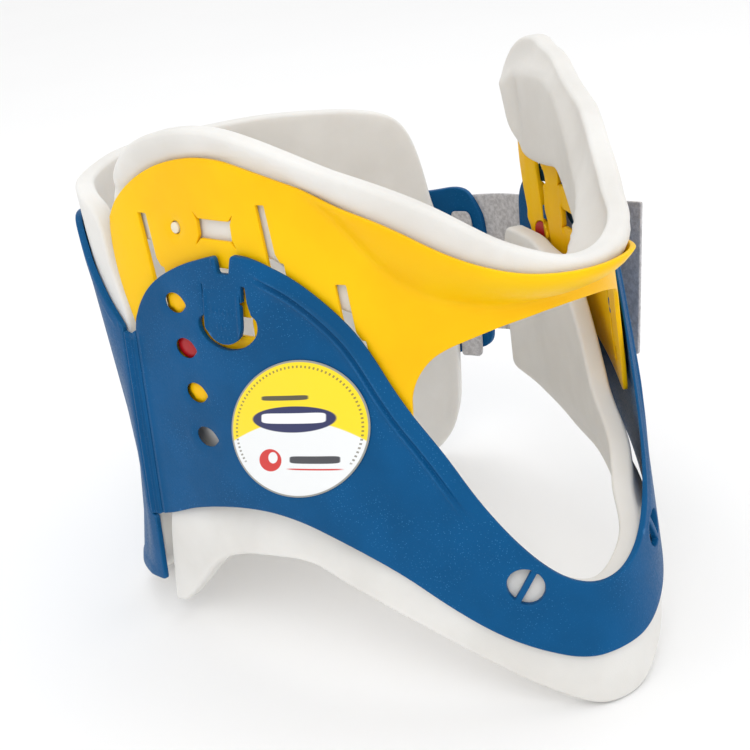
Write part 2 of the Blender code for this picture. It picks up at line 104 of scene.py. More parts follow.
def closed_curve(half):
    """Closed smooth curve through a half plan and its mirror image."""
    points = np.array(half + [(-x, y) for x, y in reversed(half[1:-1])], float)
    t = (np.arange(SAMPLES) / SAMPLES)[None, :, None]
    p0, p1, p2, p3 = (np.roll(points, k, axis=0)[:, None] for k in (1, 0, -1, -2))
    cubic = (2 * p1 + (p2 - p0) * t + (2 * p0 - 5 * p1 + 4 * p2 - p3) * t ** 2
             + (3 * p1 - p0 - 3 * p2 + p3) * t ** 3)
    return 0.5 * cubic.reshape(-1, 2)


BASE_CURVE = closed_curve(BASE_PLAN)
TOP_CURVE = closed_curve(TOP_PLAN)
COUNT = len(BASE_CURVE)


def plan_at(index, z):
    """Points of the wall's plan at fractional curve indices and heights."""
    low = np.floor(index).astype(int)
    part = (index - low)[:, None]
    height = (z / PLAN_TOP_Z)[:, None]
    ends = [BASE_CURVE[k % COUNT] * (1 - height) + TOP_CURVE[k % COUNT] * height for k in (low, low + 1)]
    return ends[0] * (1 - part) + ends[1] * part


def girth_table():
    """Distance around the wall at each curve index."""
    ring = plan_at(np.arange(COUNT + 1.0), np.full(COUNT + 1, GIRTH_Z))
    return np.concatenate([[0.0], np.cumsum(np.linalg.norm(np.diff(ring, axis=0), axis=1))])


GIRTH = girth_table()
AROUND = GIRTH[-1]
BACK_U = AROUND / 2


def opened(points):
    """The worn-in collar: its left side stands a little outwards, more so higher up."""
    x, z = points[:, 0] / MM, points[:, 2] / MM
    moved = points.copy()
    moved[:, 0] += (SPREAD + SPREAD_RISE * z) * ramp(x, SPREAD_FROM, SPREAD_FULL) * MM
    return moved


def wall(u, z, depth=0.0):
    """Points in metres at wall distances u, heights z and depths along the outward normal."""
    return opened(plain_wall(u, z, depth))


def plain_wall(u, z, depth=0.0):
    """The symmetric wall of the CAD model."""
    u, z, depth = (np.atleast_1d(np.asarray(a, float)) for a in np.broadcast_arrays(u, z, depth))
    index = np.interp((-u) % AROUND, GIRTH, np.arange(COUNT + 1.0))
    along = plan_at(index + 1, z) - plan_at(index - 1, z)
    normal = np.stack([along[:, 1], -along[:, 0]], 1) / np.linalg.norm(along, axis=1)[:, None]
    flat = plan_at(index, z) + normal * depth[:, None] + PLAN_OFFSET
    return np.column_stack([flat, z]) * MM


def ramp(value, low, high):
    t = np.clip((value - low) / (high - low), 0, 1)
    return t * t * (3 - 2 * t)


def strap_place(q, z, depth):
    """Points on the strap: around the back panel's end, then straight forwards past the left arm."""
    q, z, depth = (np.atleast_1d(np.asarray(a, float)) for a in np.broadcast_arrays(q, z, depth))
    turn = np.minimum(q, STRAP_TURN)
    points = plain_wall(AROUND - STRAP_START + turn, z + STRAP_RISE * q, STRAP_LIFT + depth)
    return opened(points + STRAP_FORWARD / np.linalg.norm(STRAP_FORWARD) * ((q - turn) * MM)[:, None])


def lean_along(u, z, drop):
    """Point that lies lower than (u, z) by drop on the sliding direction of the chin piece."""
    slid = plain_wall(u, z)[0] - np.array((0.0, SLIDE_LEAN, 1.0)) * drop * MM
    below = plain_wall(u, z - drop)[0]
    step = plain_wall(u + 1.0, z - drop)[0] - below
    return u + float((slid - below) @ step / (step @ step)), z - drop


# ---------------------------------------------------------------- outlines

def bump(value, centre, half):
    """Smooth ridge of height 1 around a centre."""
    return 1 - ramp(np.abs(value - centre), 0, half)


def mirror(points):
    return [(-p[0], *p[1:]) for p in reversed(points)]


def flip(points, side):
    return [(side * p[0], *p[1:]) for p in points]


def arc(u, z, r, start=0.0, end=360.0, steps=16):
    full = abs(end - start) >= 360.0
    angles = [math.radians(start + (end - start) * k / steps) for k in range(steps if full else steps + 1)]
    return [(u + r * math.cos(a), z + r * math.sin(a)) for a in angles]


def oval(u, z, wide, high, start=0.0, end=360.0, steps=16):
    return [(u + wide * a, z + high * b) for a, b in arc(0, 0, 1, start, end, steps)]


def smooth_path(points, step, closed=True):
    """Path along control points: (u, z) rounds off half of both sides, and (u, z, r) only r of them."""
    count, runs = len(points), []
    for i, point in enumerate(points):
        here = np.array(point[:2], float)
        if not closed and i in (0, count - 1):
            runs.append(here[None])
            continue
        reach = point[2] if len(point) > 2 else 1e9
        legs = [np.array(points[k % count][:2], float) - here for k in (i - 1, i + 1)]
        ends = [leg * min(0.5, reach / max(np.linalg.norm(leg), 1e-9)) for leg in legs]
        steps = max(3, math.ceil(sum(np.linalg.norm(end) for end in ends) / step))
        t = np.linspace(0, 1, steps + 1)[:, None]
        runs.append(here + (1 - t) ** 2 * ends[0] + t ** 2 * ends[1])
    path = np.concatenate(runs)
    follow = np.roll(path, -1, axis=0) if closed else path[1:]
    out = []
    for a, b in zip(path, follow):
        length = np.linalg.norm(b - a)
        if length > 1e-4:
            t = np.arange(max(1, math.ceil(length / step)))[:, None]
            out.append(a + (b - a) * t / len(t))
    return np.concatenate(out if closed else out + [path[-1:]])


def area(loop):
    x, y = loop.T
    return 0.5 * float(np.sum(x * np.roll(y, -1) - y * np.roll(x, -1)))


def offset(loop, distance, closed=True):
    """Path moved to its left side."""
    if closed:
        ahead, behind = np.roll(loop, -1, axis=0) - loop, loop - np.roll(loop, 1, axis=0)
    else:
        step = np.diff(loop, axis=0)
        ahead, behind = np.vstack([step, step[-1:]]), np.vstack([step[:1], step])
    ahead = ahead / np.linalg.norm(ahead, axis=1)[:, None]
    behind = behind / np.linalg.norm(behind, axis=1)[:, None]
    middle = ahead + behind
    middle /= np.maximum(np.linalg.norm(middle, axis=1), 1e-6)[:, None]
    normal = np.stack([-middle[:, 1], middle[:, 0]], 1)
    miter = 1 / np.maximum((middle * ahead).sum(1), 0.6)
    return loop + normal * distance * miter[:, None]


def segments(paths):
    """Ends of every segment of (path, closed) pairs."""
    starts = [p if closed else p[:-1] for p, closed in paths]
    ends = [np.roll(p, -1, axis=0) if closed else p[1:] for p, closed in paths]
    return np.concatenate(starts), np.concatenate(ends)


def distance(points, paths):
    """Distance from each point to the nearest of the paths."""
    a, b = segments(paths)
    side = b - a
    length2 = np.maximum((side ** 2).sum(1), 1e-12)
    out = np.empty(len(points))
    for k in range(0, len(points), 1000):
        rel = points[k:k + 1000, None] - a[None]
        t = np.clip((rel * side).sum(2) / length2, 0, 1)
        out[k:k + 1000] = np.sqrt((((rel - side * t[..., None]) ** 2).sum(2)).min(1))
    return out


def inside(points, loops):
    """True where a point lies in the material that the outline and its holes enclose."""
    a, b = segments([(loop, True) for loop in loops])
    hit = np.zeros(len(points), bool)
    for k in range(0, len(points), 1000):
        x, y = points[k:k + 1000, 0][:, None], points[k:k + 1000, 1][:, None]
        crosses = (a[:, 1] > y) != (b[:, 1] > y)
        rise = np.where(b[:, 1] == a[:, 1], 1e-12, b[:, 1] - a[:, 1])
        at = a[:, 0] + (b[:, 0] - a[:, 0]) * (y - a[:, 1]) / rise
        hit[k:k + 1000] = (crosses & (x < at)).sum(1) % 2 == 1
    return hit


# ---------------------------------------------------------------- sheets

def hex_grid(loop, pitch):
    """Grid of triangle corners over a loop's box."""
    low, high = loop.min(0), loop.max(0)
    rows = np.arange(low[1], high[1], pitch * 0.866)
    columns = np.arange(low[0], high[0], pitch)
    points = [np.column_stack([columns + (j % 2) * pitch / 2, np.full(len(columns), z)])
              for j, z in enumerate(rows)]
    return np.concatenate(points)


def fill(loops, lines, pitch):
    """Triangles between the loops, through the feature lines and a hexagonal grid."""
    loop_paths = [(loop, True) for loop in loops]
    points, edges, first = list(loops), [], 0
    for loop in loops:
        edges += [(first + k, first + (k + 1) % len(loop)) for k in range(len(loop))]
        first += len(loop)
    kept_lines = []
    for line in lines:
        keep = inside(line, loops) & (distance(line, loop_paths) > 0.25)
        where = np.cumsum(keep) - 1 + first
        joined = [k for k in range(len(line) - 1) if keep[k] and keep[k + 1]]
        edges += [(int(where[k]), int(where[k + 1])) for k in joined]
        points.append(line[keep])
        first += int(keep.sum())
        if keep.sum() > 1:
            kept_lines.append((line[keep], False))
    grid = hex_grid(loops[0], pitch)
    grid = grid[inside(grid, loops)]
    grid = grid[distance(grid, loop_paths) > 0.45 * pitch]
    if kept_lines:
        grid = grid[distance(grid, kept_lines) > 0.4 * pitch]
    cloud = np.concatenate(points + [grid])
    result = delaunay_2d_cdt([Vector(p) for p in cloud.tolist()], edges, [], 0, 1e-5)
    flat = np.array([tuple(v) for v in result[0]])
    faces = np.array(result[2])
    corner = flat[faces]
    one, two = corner[:, 1] - corner[:, 0], corner[:, 2] - corner[:, 0]
    big = np.abs(one[:, 0] * two[:, 1] - one[:, 1] * two[:, 0]) > 1e-4
    faces = faces[big & inside(corner.mean(1), loops)]
    place_of = {old: new for new, olds in enumerate(result[3]) for old in olds}
    loop_ids, start = [], 0
    for loop in loops:
        loop_ids.append([place_of[start + k] for k in range(len(loop))])
        start += len(loop)
    return flat, faces, loop_ids


def sheet(name, outline, outer, inner, material, holes=(), edge=0.35, pitch=2.6, step=1.2, lines=(),
          place=wall, turns=3):
    """Closed sheet with rounded edges; outer and inner are depths, or functions of (u, z) arrays."""
    def depth_of(rule, flat):
        return rule(flat[:, 0], flat[:, 1]) if callable(rule) else np.full(len(flat), float(rule))

    loops = [smooth_path(outline, step)]
    loops[0] = loops[0] if area(loops[0]) > 0 else loops[0][::-1]
    for hole in holes:
        loop = smooth_path(hole, 0.6 * step)
        loops.append(loop if area(loop) < 0 else loop[::-1])
    insets = [offset(loop, edge) for loop in loops]
    flat, faces, loop_ids = fill(insets, list(lines), pitch)
    outside, within = depth_of(outer, flat), depth_of(inner, flat)
    count = len(flat)
    places = [place(flat[:, 0], flat[:, 1], outside), place(flat[:, 0], flat[:, 1], within)]
    plain = [flat, flat]
    quads, first = [], 2 * count
    angles = np.radians(np.linspace(0, 90, turns + 1))[1:]
    for loop, ids in zip(loops, loop_ids):
        top, low = outside[ids], within[ids]
        rows = [np.array(ids)]
        rims = [(a, 1) for a in angles] + [(a, -1) for a in angles[::-1]]
        for a, end in rims:
            ring = offset(loop, edge * (1 - math.sin(a)))
            drop = np.minimum(edge, 0.45 * (top - low)) * (1 - math.cos(a))
            places.append(place(ring[:, 0], ring[:, 1], top - drop if end > 0 else low + drop))
            plain.append(ring)
            rows.append(np.arange(first, first + len(ring)))
            first += len(ring)
        rows.append(np.array(ids) + count)
        for a, b in zip(rows, rows[1:]):
            quads.append(np.stack([a, np.roll(a, -1), np.roll(b, -1), b], 1))
    polygons = faces.tolist() + (faces[:, ::-1] + count).tolist() + np.concatenate(quads).tolist()
    return make_piece(name, np.concatenate(places), polygons, material, np.concatenate(plain))


def make_piece(name, points, polygons, material, flat):
    """Mesh object whose points also keep their place (u, z) in the attribute flat."""
    mesh = bpy.data.meshes.new(name)
    mesh.from_pydata(points.tolist(), [], polygons)
    spot = mesh.attributes.new("flat", "FLOAT_VECTOR", "POINT")
    vectors = np.column_stack([flat, np.zeros(len(flat))])
    spot.data.foreach_set("vector", vectors.astype(np.float32).ravel())
    bm = bmesh.new()
    bm.from_mesh(mesh)
    bmesh.ops.delete(bm, geom=[v for v in bm.verts if not v.link_faces], context="VERTS")
    bmesh.ops.recalc_face_normals(bm, faces=bm.faces)
    bm.to_mesh(mesh)
    bm.free()
    mesh.shade_smooth()
    mesh.materials.append(material)
    return shown(name, mesh)


def shown(name, data):
    """New object in the scene."""
    made = bpy.data.objects.new(name, data)
    bpy.context.scene.collection.objects.link(made)
    return made


# ---------------------------------------------------------------- materials

def add(tree, kind, inputs=None, **settings):
    made = tree.nodes.new(kind)
    for key, value in settings.items():
        setattr(made, key, value)
    for key, value in (inputs or {}).items():
        if isinstance(value, bpy.types.NodeSocket):
            tree.links.new(value, made.inputs[key])
        else:
            made.inputs[key].default_value = value
    return made


def number(tree, operation, a, b=0.0):
    return add(tree, "ShaderNodeMath", {0: a, 1: b}, operation=operation).outputs[0]


def product(tree, first, *others):
    for value in others:
        first = number(tree, "MULTIPLY", first, value)
    return first


def spread(tree, value, low, high, out_low=0.0, out_high=1.0):
    """A value mapped smoothly from one range to another."""
    inputs = {"Value": value, "From Min": low, "From Max": high, "To Min": out_low, "To Max": out_high}
    return add(tree, "ShaderNodeMapRange", inputs, interpolation_type="SMOOTHSTEP").outputs[0]


def mixed(tree, factor, a, b):
    return add(tree, "ShaderNodeMix", {0: factor, 6: a, 7: b}, data_type="RGBA").outputs[2]


def noise(tree, where, scale, detail=3.0, roughness=0.55):
    inputs = {"Vector": where, "Scale": scale, "Detail": detail, "Roughness": roughness}
    return add(tree, "ShaderNodeTexNoise", inputs).outputs[0]


def cells(tree, where, scale):
    inputs = {"Vector": where, "Scale": scale}
    return add(tree, "ShaderNodeTexVoronoi", inputs, feature="F1").outputs["Distance"]


def new_material(name):
    material = bpy.data.materials.new(name)
    material.use_nodes = True
    tree = material.node_tree
    where = add(tree, "ShaderNodeTexCoord").outputs["Object"]
    return material, tree, tree.nodes["Principled BSDF"], where


def tune(shader, **values):
    """Set inputs of the shader; an underscore stands for a space."""
    for key, value in values.items():
        shader.inputs[key.replace("_", " ")].default_value = value


def relief(tree, shader, height, strength, reach):
    """Surface relief whose full height is reach metres."""
    inputs = {"Height": height, "Strength": strength, "Distance": reach}
    tree.links.new(add(tree, "ShaderNodeBump", inputs).outputs[0], shader.inputs["Normal"])


def blue_plastic():
    """Fine-textured polyethylene: painted speckled sheen, and painted highlights that lighten the edges."""
    material, tree, shader, where = new_material("blue_plastic")
    broad = spread(tree, noise(tree, where, 38.0), 0.3, 0.7)
    grain = noise(tree, where, 1500.0, 2.0)
    # painted sheen: sparse lighter specks stand in for glints off the grained surface
    spark = spread(tree, cells(tree, where, 1250.0), 0.26, 0.08)
    patchy = spread(tree, noise(tree, where, 55.0, 2.0), 0.42, 0.62, 0.1, 0.75)
    base = mixed(tree, broad, (0.0007, 0.068, 0.19, 1), (0.001, 0.082, 0.23, 1))
    specked = mixed(tree, number(tree, "MULTIPLY", spark, patchy), base, (0.035, 0.185, 0.40, 1))
    # painted highlight: pointiness lightens the edges and rib crests as if they caught the light
    edge = spread(tree, add(tree, "ShaderNodeNewGeometry").outputs["Pointiness"], 0.515, 0.60, 0.0, 0.5)
    tree.links.new(mixed(tree, edge, specked, (0.06, 0.20, 0.42, 1)), shader.inputs["Base Color"])
    tree.links.new(spread(tree, grain, 0.3, 0.7, 0.36, 0.52), shader.inputs["Roughness"])
    relief(tree, shader, grain, 0.35, 0.00012)
    tune(shader, Specular_IOR_Level=0.11)
    return material


def yellow_plastic():
    material, tree, shader, where = new_material("yellow_plastic")
    broad = spread(tree, noise(tree, where, 30.0), 0.3, 0.7)
    colour = mixed(tree, broad, (0.90, 0.49, 0.001, 1), (0.93, 0.55, 0.0015, 1))
    tree.links.new(colour, shader.inputs["Base Color"])
    grain = noise(tree, where, 900.0, 2.0)
    tree.links.new(spread(tree, grain, 0.3, 0.7, 0.36, 0.46), shader.inputs["Roughness"])
    relief(tree, shader, grain, 0.12, 0.0001)
    tune(shader, Subsurface_Weight=0.12, Subsurface_Radius=(0.004, 0.002, 0.0005), Subsurface_Scale=1.0,
         Specular_IOR_Level=0.14)
    return material


def white_foam():
    """Closed-cell foam: a matte skin with fine cells and faint mottling."""
    material, tree, shader, where = new_material("white_foam")
    mottle = spread(tree, noise(tree, where, 26.0, 4.0), 0.3, 0.7)
    colour = mixed(tree, mottle, (0.68, 0.665, 0.635, 1), (0.75, 0.74, 0.715, 1))
    pores = cells(tree, where, 2300.0)
    dotted = mixed(tree, spread(tree, pores, 0.16, 0.02, 0.0, 0.18), colour, (0.55, 0.53, 0.50, 1))
    tree.links.new(dotted, shader.inputs["Base Color"])
    soft = noise(tree, where, 420.0, 4.0)
    height = number(tree, "ADD", number(tree, "MULTIPLY", soft, 0.7), number(tree, "MULTIPLY", pores, 0.5))
    relief(tree, shader, height, 0.22, 0.00018)
    tune(shader, Roughness=0.72, Subsurface_Weight=0.3, Subsurface_Radius=(0.005, 0.0045, 0.004),
         Subsurface_Scale=1.0, Specular_IOR_Level=0.3)
    return material


def small_plastic(name, dark, light, roughness):
    material, tree, shader, where = new_material(name)
    tune(shader, Specular_IOR_Level=0.3)
    tree.links.new(mixed(tree, noise(tree, where, 700.0), dark, light), shader.inputs["Base Color"])
    relief(tree, shader, noise(tree, where, 1400.0), 0.12, 0.00008)
    tune(shader, Roughness=roughness)
    return material


def loop_fabric():
    """Brushed nylon loops with a light glitter where single fibres catch the light."""
    material, tree, shader, where = new_material("loop_fabric")
    fibre = noise(tree, where, 620.0, 6.0, 0.7)
    base = mixed(tree, spread(tree, fibre, 0.35, 0.65), (0.40, 0.39, 0.40, 1), (0.60, 0.59, 0.60, 1))
    glint = spread(tree, cells(tree, where, 620.0), 0.11, 0.03)
    sparse = spread(tree, noise(tree, where, 240.0, 1.0), 0.56, 0.68)
    lit = mixed(tree, number(tree, "MULTIPLY", glint, sparse), base, (0.95, 0.95, 0.95, 1))
    tree.links.new(lit, shader.inputs["Base Color"])
    relief(tree, shader, fibre, 0.7, 0.0005)
    tune(shader, Roughness=0.88, Sheen_Weight=0.35, Sheen_Roughness=0.4)
    return material


def hook_fabric():
    material, tree, shader, where = new_material("hook_fabric")
    hooks = cells(tree, where, 850.0)
    colour = mixed(tree, spread(tree, hooks, 0.1, 0.6), (0.075, 0.08, 0.09, 1), (0.02, 0.02, 0.025, 1))
    tree.links.new(colour, shader.inputs["Base Color"])
    relief(tree, shader, hooks, 0.9, 0.0006)
    tune(shader, Roughness=0.7)
    return material


PAPER, NAVY, BLACK = (0.83, 0.845, 0.85, 1), (0.018, 0.022, 0.10, 1), (0.06, 0.06, 0.07, 1)
CRIMSON, OLIVE = (0.62, 0.03, 0.025, 1), (0.09, 0.08, 0.04, 1)
INK_SOFT = 0.012                      # softness of a printed edge, as a share of the label's radius
# Printed shapes: centre and half size as shares of the label's radius, squareness and ink.
LABEL_MARKS = [(-0.04, 0.16, 0.61, 0.19, 2.0, NAVY),
               (-0.04, 0.175, 0.47, 0.075, 6.0, (0.88, 0.89, 0.90, 1)),
               (-0.16, 0.47, 0.35, 0.035, 6.0, OLIVE), (-0.37, -0.45, 0.17, 0.17, 2.0, CRIMSON),
               (-0.33, -0.41, 0.07, 0.085, 2.0, PAPER), (0.27, -0.43, 0.35, 0.055, 6.0, BLACK),
               (0.27, -0.57, 0.37, 0.012, 6.0, CRIMSON)]


def label_place(tree):
    """Place on the label as two values, each from -1 to 1 across it."""
    flat = add(tree, "ShaderNodeAttribute", attribute_name="flat").outputs["Vector"]
    parts = add(tree, "ShaderNodeSeparateXYZ", {0: flat})
    (ux, zx), (uy, zy) = LABEL_RIGHT, LABEL_UP
    du = number(tree, "SUBTRACT", parts.outputs[0], LABEL_U)
    dz = number(tree, "SUBTRACT", parts.outputs[1], LABEL_Z)
    size = ux * zy - uy * zx
    shares = [(zy / size, -uy / size), (-zx / size, ux / size)]
    return [number(tree, "ADD", product(tree, du, a), product(tree, dz, b)) for a, b in shares]


def blob(tree, place, middle, half, power):
    """1 inside a printed shape and 0 outside; a higher power makes it squarer."""
    terms = []
    for value, centre, reach in zip(place, middle, half):
        share = number(tree, "DIVIDE", number(tree, "SUBTRACT", value, centre), reach)
        terms.append(number(tree, "POWER", number(tree, "ABSOLUTE", share), power))
    soft = INK_SOFT / half[1]
    return spread(tree, number(tree, "ADD", *terms), 1 + soft, 1 - soft)


def tick_ring(tree, radius, x, y):
    """Ring of small ticks near the label's edge, open at the bottom."""
    turn = number(tree, "SINE", product(tree, number(tree, "ARCTAN2", y, x), 95.0))
    ring = product(tree, spread(tree, radius, 0.885, 0.89), spread(tree, radius, 0.925, 0.92))
    return product(tree, ring, spread(tree, turn, -0.1, 0.5), spread(tree, y, -0.52, -0.48), 0.75)


def label_film():
    """Printed sticker: yellow over white, with a plain oval, disc, bars and a ring of ticks."""
    material, tree, shader, where = new_material("label_film")
    x, y = label_place(tree)
    wave = number(tree, "ADD", product(tree, x, x, -0.36), 0.14)
    upper = spread(tree, number(tree, "SUBTRACT", y, wave), -INK_SOFT, INK_SOFT)
    colour = mixed(tree, upper, PAPER, (0.93, 0.70, 0.004, 1))
    radius = number(tree, "SQRT", number(tree, "ADD", product(tree, x, x), product(tree, y, y)))
    colour = mixed(tree, tick_ring(tree, radius, x, y), colour, (0.12, 0.10, 0.05, 1))
    for *middle, wide, high, power, ink in LABEL_MARKS:
        colour = mixed(tree, blob(tree, (x, y), middle, (wide, high), power), colour, ink)
    colour = mixed(tree, spread(tree, radius, 0.965, 0.975), colour, (0.30, 0.30, 0.27, 1))
    tree.links.new(colour, shader.inputs["Base Color"])
    relief(tree, shader, noise(tree, where, 120.0), 0.05, 0.0003)
    tune(shader, Roughness=0.32)
    return material


BLUE = blue_plastic()
YELLOW = yellow_plastic()
WHITE = white_foam()
RED = small_plastic("red_plastic", (0.33, 0.004, 0.007, 1), (0.42, 0.006, 0.010, 1), 0.34)
PALE = small_plastic("pale_plastic", (0.72, 0.66, 0.50, 1), (0.82, 0.76, 0.62, 1), 0.38)
STUD = small_plastic("grey_plastic", (0.30, 0.30, 0.32, 1), (0.40, 0.40, 0.42, 1), 0.35)
LOOP = loop_fabric()
HOOK = hook_fabric()
FILM = label_film()


# ---------------------------------------------------------------- blue mouldings

ARM_TOP = [(0, 38), (7, 39), (15, 43), (24, 52), (34, 66), (42, 81), (52, 95), (61, 113), (70, 122),
           (82, 130), (94, 134), (101, 135.7), (107.6, 136, 1.6), (109.4, 130, 0.7), (114.3, 130, 0.7),
           (114.9, 135.2, 1.6), (121, 133.8), (134, 130), (148, 123)]
ARM_LOW = [(0, 17), (11, 17), (23, 21), (35, 26), (48, 34), (61, 43), (77, 50), (94, 55), (113, 55),
           (138, 49), (152, 43)]
FRONT_REAR = WEB_LOW - SEAM
RIGHT_END = [(156, 114), (FRONT_REAR, 106, 1.5), (FRONT_REAR, 41.0, 0.8)]
LEFT_END = [(157, 115), (158.5, 103), (157.5, 60), (155.5, 45)]
LOCK_OPENING = [(122.6, 121.2, 0.4), (122.5, 116.4), (125.8, 115.2), (126.6, 112), (124.3, 108.6),
                (119.5, 106.7), (114.5, 106.1), (109, 107), (104, 109.3), (100.0, 112.8), (99.5, 116.9),
                (101.8, 118.2, 0.5), (102.9, 122, 1.0), (102.9, 126.8, 0.5), (104.7, 127.0, 0.5),
                (105.3, LOCK_ROOT, 0.3), (122.1, LOCK_ROOT, 0.3), (122.1, 126.0, 0.3),
                (122.5, 126.2, 0.3)]


def cannula_holes(side):
    """Two half-moon holes whose shared bar holds a cannula tube."""
    first, last = CANNULA_TILT + CANNULA_BAR, CANNULA_TILT + 180 - CANNULA_BAR
    for turn in (0, 180):
        moon = arc(CANNULA_U, CANNULA_Z, CANNULA_R, first + turn, last + turn, 10)
        moon = [(*moon[0], 0.5), *moon[1:-1], (*moon[-1], 0.5)]
        yield flip(moon, side)


def windows(side):
    return [lean_along(side * WINDOW_U, WINDOW_Z, k * PITCH) for k in range(4)]


def window_hole(side, u, z):
    """Oval window with a small point on its front side."""
    ring = oval(u, z, WINDOW_WIDE, WINDOW_HIGH, 25, 335)
    ring = [(2 * u - a, b) if side > 0 else (a, b) for a, b in ring]
    return ring + [(u - side * (WINDOW_WIDE + 1.1), z, 0.7)]


def upright(u, low, high):
    """Upright feature line."""
    z = np.arange(low, high, 1.5)
    return np.column_stack([np.full(len(z), u), z])


def top_paths():
    """The arms' upper edge on both sides, without the notches."""
    half = [p[:2] for p in ARM_TOP if not 106 < p[0] < 114]
    return [smooth_path(flip(half, side), 1.2, closed=False) for side in (1, -1)]


EDGE_PATHS = top_paths()
MARKS = [(0.0, 1.1), (1.7, 0.8), (3.1, 1.2), (4.6, 0.7), (6.0, 1.1)]    # raised dashes: place and height


def arm_depth(u, z):
    """Relief of the arms' outside: sloped lip, two ribs, rims around the openings, and raised marks."""
    points = np.column_stack([u, z])
    near = np.minimum(*(distance(points, [(path, False)]) for path in EDGE_PATHS))
    s = np.abs(u)
    ribbed = ramp(s, 36, 46) * (1 - ramp(s, 92, 100))
    lip = -1.0 * (1 - ramp(near, 0.2, 3.8)) * ramp(s, 14, 40) * (1 - ramp(s, 94, 104))
    ribs = 0.7 * bump(near, 4.3, 0.85) - 0.7 * bump(near, 5.5, 0.9) + 0.65 * bump(near, 6.7, 0.85)
    depth = lip + ribbed * ribs
    for side in (1, -1):
        for wu, wz in windows(side):
            ring = np.hypot((u - wu) / WINDOW_WIDE, (z - wz) / WINDOW_HIGH)
            depth = depth - 0.3 * (1 - ramp(ring, 1.0, 1.35))
            depth = depth + 0.45 * bump(np.hypot((u - wu - side * 7.0), (z - wz + 0.8) * 0.5), 0, 0.8)
            for place, high in MARKS:
                off = u - wu + side * (2.6 - place)
                depth = depth + 0.3 * bump(off, 0, 0.5) * bump(z - wz + 6.0, 0, high)
        ring = np.hypot(u - side * CANNULA_U, z - CANNULA_Z)
        depth = depth + 0.25 * bump(ring, CANNULA_R + 0.6, 1.1)
    rear = np.abs(s - WEB_LOW + 1.8)
    notch = bump(np.hypot((s - 115.9) / 0.6, np.maximum(np.abs(z - 132.5) - 2.4, 0)), 0, 1.0)
    return depth + 0.25 * bump(rear, 0, 0.9) * (u > 0) + 0.4 * notch


def arm_back(u, z):
    """Inside of the arms, with a shallow channel behind the column of windows."""
    s = np.abs(u)
    middle = np.interp(z, [75.1, 89.4, 103.7, 118.0], [129.9, 132.2, 134.6, 137.0])
    channel = (1 - ramp(np.abs(s - middle), 7.0, 8.5)) * ramp(z, 44, 48) * (1 - ramp(z, 122.5, 124.5))
    return 1.1 * channel - SHELL


def arm_lines():
    """Feature lines that carry the lip, the ribs and the hinge's first rib."""
    lines = []
    for path, side in zip(EDGE_PATHS, (1, -1)):
        for off in (0.9, 1.9, 3.0, 3.6, 3.95, 4.3, 4.7, 5.1, 5.5, 5.95, 6.35, 6.7, 7.1, 7.6):
            line = offset(path, -off * side, closed=False)
            line = line[distance(line, [(path, False)]) > off - 0.04]
            if off > 3.2:
                line = line[(np.abs(line[:, 0]) > 34) & (np.abs(line[:, 0]) < 101)]
            lines.append(line)
    return lines + [upright(WEB_LOW + off, 42.5, 105) for off in (-2.7, -2.25, -1.8, -1.35, -0.9)]


def front_shell():
    """Both arms and the nose in one moulding."""
    right = ARM_TOP[1:] + RIGHT_END + ARM_LOW[:0:-1]
    left = ARM_TOP[1:] + LEFT_END + ARM_LOW[:0:-1]
    outline = right + [ARM_LOW[0]] + mirror(left) + [ARM_TOP[0]]
    holes = []
    for side in (1, -1):
        holes += [window_hole(side, u, z) for u, z in windows(side)]
        holes += [flip(LOCK_OPENING, side), *cannula_holes(side)]
    shell = sheet("front_shell", outline, arm_depth, arm_back, BLUE, holes=holes, lines=arm_lines(),
                  pitch=2.2, step=1.0)
    finish(shell, "front", "blue_shell", "front_body")


def guide_hooks():
    """Posts inside the arms that run in the chin support's slots."""
    for side, word in ((1, "right"), (-1, "left")):
        for k, (top_u, top_z, _) in enumerate(GUIDE_SLOTS):
            u, z = placed([lean_along(top_u, top_z, HOOK_DROP)], side, top_u)[0]
            block = [(u + a, z + b, 0.6) for a, b in ((-1, -2.5), (1, -2.5), (1, 2.5), (-1, 2.5))]
            post = sheet("guide_hook_%s_%d" % (word, k + 1), block, -SHELL + 0.3, CHIN_DEPTH - CHIN_SHEET,
                         BLUE, edge=0.3, pitch=0.8, step=0.5)
            finish(post, "front", "blue_shell")


def hinge_web():
    """Thin web with three ribs between the front body and the back panel, where the real collar bends; the
    piece is baked in place and does not bend.
    """
    low, high = WEB_LOW + SEAM, WEB_HIGH - SEAM

    def ribbed(u, z):
        ribs = sum(bump(u, HINGE_U + k, 0.75) for k in (-2.2, 0.0, 2.2))
        thin = 0.55 * bump(u, HINGE_U, 3.2)
        return 0.6 * ribs - thin

    outline = [(low, 41.0, 0.5), (HINGE_U, 39.6), (high, 39.6, 0.5), (high, 104.0, 0.5), (HINGE_U, 103.4),
               (low, 105.6, 0.5)]
    lines = [upright(HINGE_U + off, 41.5, 103.0) for off in np.arange(-3.0, 3.01, 0.367)]
    web = sheet("hinge_web", outline, ribbed, -1.5, BLUE, lines=lines, pitch=1.6, step=0.8, edge=0.25)
    ends = [wall(HINGE_U + off, 70.0, -0.7)[0].tolist() for off in (-2.8, 2.8)]
    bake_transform(web)
    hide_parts("living_hinge")


def swell(u, z):
    """How far the back panel's right corner stands out beyond the wall."""
    across = ramp(u, WEB_HIGH + 0.3, 180) * (1 - ramp(u, 205, 255))
    return across * np.interp(z, [10, 30, 50, 70, 100, 125, 155], [0, -2.5, -3.7, -2.4, 0.8, 3.5, 6])


